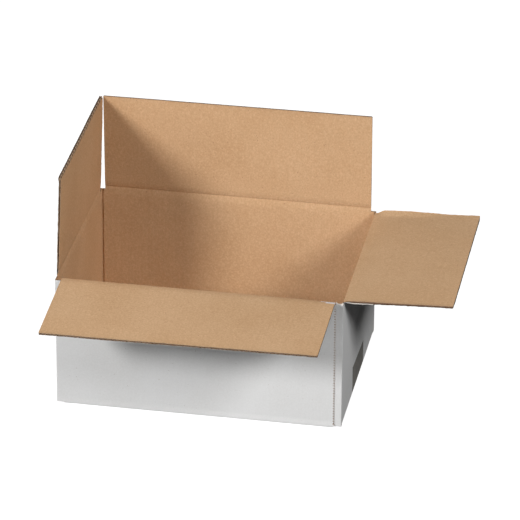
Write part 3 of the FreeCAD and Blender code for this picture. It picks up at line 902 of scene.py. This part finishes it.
flapLooks = {
    "front_flap": {"sideRuffle": 0.5 * mm, "twist": 0.54, "highlightFoot": True},
    "rear_flap": {"sideRuffle": 0.4 * mm, "twist": 0.1, "flare": 0.4 * mm, "trim": (0.4 * mm, 1.5 * mm)},
    "left_flap": {"sideRuffle": 1.3 * mm, "sideMiddle": 0.45, "twist": 0.3, "innerShort": 4.0 * mm,
                  "flare": 0.5 * mm, "leanMore": 0.15, "tipFlare": 1.2 * mm, "footPress": 0.5 * mm,
                  "paleTip": 5.0 * mm},
    "right_flap": {"sideRuffle": 1.2 * mm, "sideMiddle": 0.62, "twist": 0.5, "peel": 3.4 * mm, "hump": 4.2 * mm,
                   "fringe": 2.4 * mm},
}


def makeTopFlap(node):
    facts = flapSides[node]
    look = {**boardLook, "crushed": 7 * mm, "footPress": score["footPress"], **flapLooks[node]}
    reach, papers = facts["reach"], facts["papers"]
    flap = makeBoard(node + "_board", facts["span"], (board["mitre"], reach), papers, look)
    # painted highlight: the white liner colour runs on from the crease onto the flap's kraft face
    if look["highlightFoot"]:
        start, finish = splitFold["torn"]
        further, height = splitFold["highlightFoot"]
        repaint(flap, papers[0], lambda centre, normal: start + further < centre.x < finish and normal.y > 0.5
                and centre.z < board["mitre"] + height)
    bend = flap.modifiers.new("twist", "SIMPLE_DEFORM")
    bend.deform_method, bend.deform_axis = "TWIST", "Z"
    bend.angle = math.radians(look["twist"])
    applyAll(flap)
    ruffle(flap, bow, look["bow"], lambda co: (co.z - board["mitre"]) / look["bowFrom"])
    ruffle(flap, crumple, look["edgeRuffle"], lambda co: 1 - (reach - co.z) / look["edgeBand"])
    if look["hump"]:
        side = facts["span"][1]
        humped = lambda co: ((1 - (side - co.x) / cuts["humpBand"]) * rising(co.z, *cuts["humpRise"])
                             * (1 - rising(co.z, *cuts["humpFall"])))
        ruffle(flap, None, look["hump"], humped, "Y", 0.0)
    setOnCrease(flap, facts["hinge"], facts["turn"], facts["lean"] + math.radians(look["leanMore"]))
    softenShading(flap)
    return flap


topFlaps = {}
for name in ("front_flap", "rear_flap", "left_flap", "right_flap"):
    topFlaps[name] = makeTopFlap(name)
    print(name, "made:", len(topFlaps[name].data.vertices), "points")


def drawThrough(at, points, turning):
    for point in points:
        target = turning @ Vector((0, *point))
        drawOut(target - at)
        at = target
    return at


def drawFoldPaper(name, facts, below, beyond, rounded, thick, paper, lip=None):
    # a paper along the crease, up the wall, round the hinge line and on along the flap
    # points are depth and height from the hinge line; a lip turns the first edge in over the board's ends
    span, lean = facts["span"], facts["lean"]
    strip = layLiner(name, span, (below[0][1], below[1][1]), below[0][0], True, [paper])
    editing(strip)
    pickVerts(strip, lambda co: near(co.z, below[1][1]))
    slide((0, below[1][0] - below[0][0], 0))
    if lip:
        pickEdges(strip, lambda co: near(co.z, below[0][1]))
        drawOut((0, lip - below[0][0], 0))
    pickEdges(strip, lambda co: near(co.z, below[1][1]))
    at = drawThrough(Vector((0, *below[1])), below[2:], Matrix.Identity(3))
    turning = Matrix.Rotation(lean, 3, "X")
    if rounded:
        bpy.ops.mesh.spin(steps=backFold["spinSteps"], angle=-lean, center=(0, 0, 0), axis=along)
        at = turning @ at
    drawThrough(at, beyond, turning)
    sliceAt(along, evenly(span[0], span[1], score["columns"]))
    leaveEditing()
    thicken(strip, thick, 0)
    return strip


def shifted(depth, height, shift):
    return depth + shift[0], height + shift[1]


def makeFold(name, facts):
    # three papers: the inner liner, the crushed flutes and the outer liner
    end, thick, liner = board["mitre"], board["thick"], board["liner"]
    inside, middle, outside = thick - liner / 2, thick / 2, liner / 2
    press, foot, papers = score["press"], score["footPress"], facts["papers"]
    foldedBack = abs(facts["lean"]) > score["sharpLean"]
    fold = backFold if foldedBack else uprightFold
    if foldedBack:
        crest, core = fold["crest"], fold["middleShare"] * fold["crest"]
        innerWay = [shifted(crest, 0, fold["wallSide"]), (crest, 0)], [shifted(crest, 0, fold["flapSide"])]
        middleWay = [shifted(core, 0, fold["middleFoot"]), (core, 0)], [shifted(core, 0, fold["middleHead"])]
        outerWay = []
    else:
        groove, rise = inside - fold["groove"], fold["rise"]
        foot = flapLooks[name.replace("crease", "flap")].get("footPress", foot)
        core = groove + fold["middleFoot"][0]
        innerWay = ([shifted(inside - press, 0, fold["wallSide"]), shifted(groove, rise, fold["grooveFoot"]),
                     (groove, rise)],
                    [shifted(groove, rise, fold["grooveHead"]), shifted(inside - foot, 0, fold["flapSide"])])
        middleWay = ([(core, rise + fold["middleFoot"][1]), (core, rise)],
                     [shifted(groove, 0, fold["middleHead"])])
        outerWay = [(outside + fold["outerGroove"], 0)]
    half = fold["outerHalf"]
    layers = (
        ("inner", [(inside - press, -end), *innerWay[0]], [*innerWay[1], (inside - foot, end)],
         foldedBack, liner, papers[1]),
        ("middle", [(middle, -end), *middleWay[0]], [*middleWay[1], (middle - fold["middleIn"], end)],
         foldedBack, fold["middleThick"], insideShadePaper),
        ("outer", [(outside, -end), (outside, -half), *outerWay], [(outside, half), (outside, end)],
         False, liner, papers[0]),
    )
    crease = joined(name, [drawFoldPaper(f"{name}_{layer}", facts, *rest) for layer, *rest in layers])
    # the layers move together, so none comes through another
    ruffle(crease, crumple, score["bumps"], lambda co: 1 if co.yz.length < score["band"] else 0, "Y")
    setOnCrease(crease, facts["hinge"], facts["turn"], 0)
    softenShading(crease, 50)
    return crease


def crushAndHighlightCreaseEnd(half, paper):
    # the end of the front crease is crushed flatter, and a band of its kraft layer is painted with the white
    # liner colour as a painted highlight
    start, finish = splitFold["torn"]
    narrow, wide, widens = splitFold["highlightWidths"]
    editing(half)
    for place in splitFold["crushFrom"]:
        pickVerts(half, lambda co: co.x > place and co.y > splitFold["crushDepth"]
                  and abs(co.z) < splitFold["crushBand"])
        slide((0, -splitFold["crush"], 0))
    leaveEditing()
    repaint(half, paper, lambda centre, normal: start < centre.x < finish and normal.y > 0.4
            and abs(centre.z) < (wide if centre.x > start + widens else narrow))


def makeSplitCrease(facts):
    # the front flap turns through more than half a circle, so its crease is two halves that meet
    papers, end, thick, liner = facts["papers"], board["mitre"], board["thick"], board["liner"]
    inside, outside, crest = thick - liner / 2, liner / 2, backFold["crest"]
    lip, gap, outerGap = splitFold["lip"], splitFold["gap"], splitFold["outerGap"]
    core, coreStart = splitFold["middle"]
    coreThick = backFold["middleThick"]
    wallInner = [(inside - score["press"], -end), shifted(crest, 0, backFold["wallSide"]), (crest, -gap),
                 (lip, -gap)]
    flapInner = [(crest, gap), shifted(crest, 0, backFold["flapSide"]), (inside - score["footPress"], end)]
    layers = {
        "foot": (("inner", wallInner, liner, papers[1]),
                 ("middle", [(thick / 2, -end), (core, -coreStart)], coreThick, insideShadePaper),
                 ("outer", [(outside, -end), (outside, -outerGap)], liner, papers[0])),
        "head": (("inner", flapInner, liner, papers[1]),
                 ("middle", [(core, coreStart), (thick / 2, end)], coreThick, insideShadePaper),
                 ("outer", [(outside, outerGap), (outside, end)], liner, papers[0])),
    }
    crumpled = lambda co: 1 if abs(co.z) < score["band"] and co.y > splitFold["bumpDepth"] else 0
    halves = []
    for name, lean in (("foot", 0), ("head", facts["lean"])):
        half = joined(f"front_crease_{name}", [
            drawFoldPaper(f"{name}_{part}", facts, points, [], False, width, paper,
                          lip if points is flapInner else None)
            for part, points, width, paper in layers[name]])
        crushAndHighlightCreaseEnd(half, papers[0])
        ruffle(half, crumple, splitFold["bumps"], crumpled, "Y")
        setOnCrease(half, facts["hinge"], facts["turn"], lean)
        softenShading(half, 50)
        halves.append(half)
    return halves


def rideFold(fold, flap):
    facts = flapSides[flap]
    bisector = facts["lean"] / 2 + math.pi / 2
    reach = Vector((0, math.cos(bisector), math.sin(bisector))) * score["bendHalf"]
    reach = Matrix.Rotation(facts["turn"], 3, "Z") @ reach
    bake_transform(fold)


topFolds = {}
for name in ("rear_flap", "left_flap", "right_flap"):
    topFolds[name] = makeFold(name.replace("flap", "crease"), flapSides[name])
creaseFoot, creaseHead = makeSplitCrease(flapSides["front_flap"])
print("folds made")


def wayTo(azimuth, elevation):
    # the direction from the carton to a camera or a lamp
    azimuth, elevation = math.radians(azimuth), math.radians(elevation)
    return Vector((math.sin(azimuth) * math.cos(elevation), -math.cos(azimuth) * math.cos(elevation),
                   math.sin(elevation)))


viewpoint = {
    "centre": (0, 0, 0.1), "azimuth": 10.108, "elevation": 26.891, "roll": 0.38,
    "distance": 7.40198, "across": 0.07272, "up": 0.09764, "lens": 291.83, "clip": (0.1, 60),
}
back = wayTo(viewpoint["azimuth"], viewpoint["elevation"])
level = (-back).cross(upward).normalized()
above = level.cross(-back)
roll = math.radians(viewpoint["roll"])
bpy.ops.object.camera_add()
camera = bpy.context.object
camera.data.lens = viewpoint["lens"]
camera.data.clip_start, camera.data.clip_end = viewpoint["clip"]
camera.location = (Vector(viewpoint["centre"]) + back * viewpoint["distance"] + level * viewpoint["across"]
                   + above * viewpoint["up"])
turned = Matrix((level * math.cos(roll) + above * math.sin(roll),
                 above * math.cos(roll) - level * math.sin(roll), back)).transposed()
camera.rotation_euler = turned.to_euler()
bpy.context.scene.camera = camera
bpy.context.scene.view_settings.view_transform = "Standard"

studio = {
    # lamp: azimuth, elevation, distance, size, power
    "keyLamp": (-31.6, 27, 4, 0.84, 109),
    "fillLamp": (51, 35, 6, 1.8, 190),
    "sideLamp": (-33, 8, 6, 2.0, 46),
    "backLamp": (180, 14, 6, 2.0, 30),
    "topLamp": (0, 78, 4, 2.0, 15),
    "lampCentre": (0, 0, 0.2),
    "floorSize": 60, "floorDrop": 0.2 * mm, "daylight": 0.035,
    "floorBounce": 0.06, "floorTone": 0.8, "floorWhitened": 0.6, "floorGlow": 1.55,
}
for lamp in ("keyLamp", "fillLamp", "sideLamp", "backLamp", "topLamp"):
    turn, height, distance, size, power = studio[lamp]
    towards = wayTo(turn, height)
    bpy.ops.object.light_add(type="AREA", location=Vector(studio["lampCentre"]) + towards * distance)
    light = bpy.context.object
    light.name = lamp
    light.data.shape, light.data.size, light.data.energy = "DISK", size, power
    light.rotation_euler = towards.to_track_quat("Z", "Y").to_euler()


def backdropShare(tree):
    # 1 for what the camera sees directly, in a gloss or through a clear film
    paths = tree.nodes.new("ShaderNodeLightPath").outputs
    glossy = maths(tree, "MAXIMUM", paths["Is Glossy Ray"], paths["Is Transmission Ray"])
    return maths(tree, "MAXIMUM", paths["Is Camera Ray"], glossy)


world = bpy.data.worlds.new("studioDaylight")
bpy.context.scene.world = world
world.use_nodes = True
sky = world.node_tree.nodes["Background"]
strength = levels(world.node_tree, backdropShare(world.node_tree), 0, 1, studio["daylight"], 1.0)
world.node_tree.links.new(strength, sky.inputs["Strength"])
sky.inputs["Color"].default_value = (1, 1, 1, 1)

bpy.ops.mesh.primitive_plane_add(size=studio["floorSize"], location=(0, 0, -studio["floorDrop"]))
floor = bpy.context.object
floor.name = "studioFloor"
material, tree, shader, place = newMaterial("paleFloor")
seen = backdropShare(tree)
setShader(tree, shader, levels(tree, seen, 0, 1, studio["floorBounce"], studio["floorTone"]), 0.9)
glow = tree.nodes.new("ShaderNodeEmission")
glow.inputs["Strength"].default_value = studio["floorGlow"]
whitened = tree.nodes.new("ShaderNodeMixShader")
for start, end in ((maths(tree, "MULTIPLY", seen, studio["floorWhitened"]), whitened.inputs[0]),
                   (shader.outputs[0], whitened.inputs[1]), (glow.outputs[0], whitened.inputs[2]),
                   (whitened.outputs[0], tree.nodes["Material Output"].inputs["Surface"])):
    tree.links.new(start, end)
floor.data.materials.append(material)

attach(cartonWalls, "carton")
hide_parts("carton_body")
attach(tapeStrip, "carton")
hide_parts("bottom_tape")
for flap in innerFlaps:
    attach(flap, "carton")
for name, flap in topFlaps.items():
    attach(flap, name)
    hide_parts(name)
for name, fold in topFolds.items():
    rideFold(fold, name)
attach(creaseFoot, "carton")
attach(creaseHead, "front_flap")

print("scene ready")
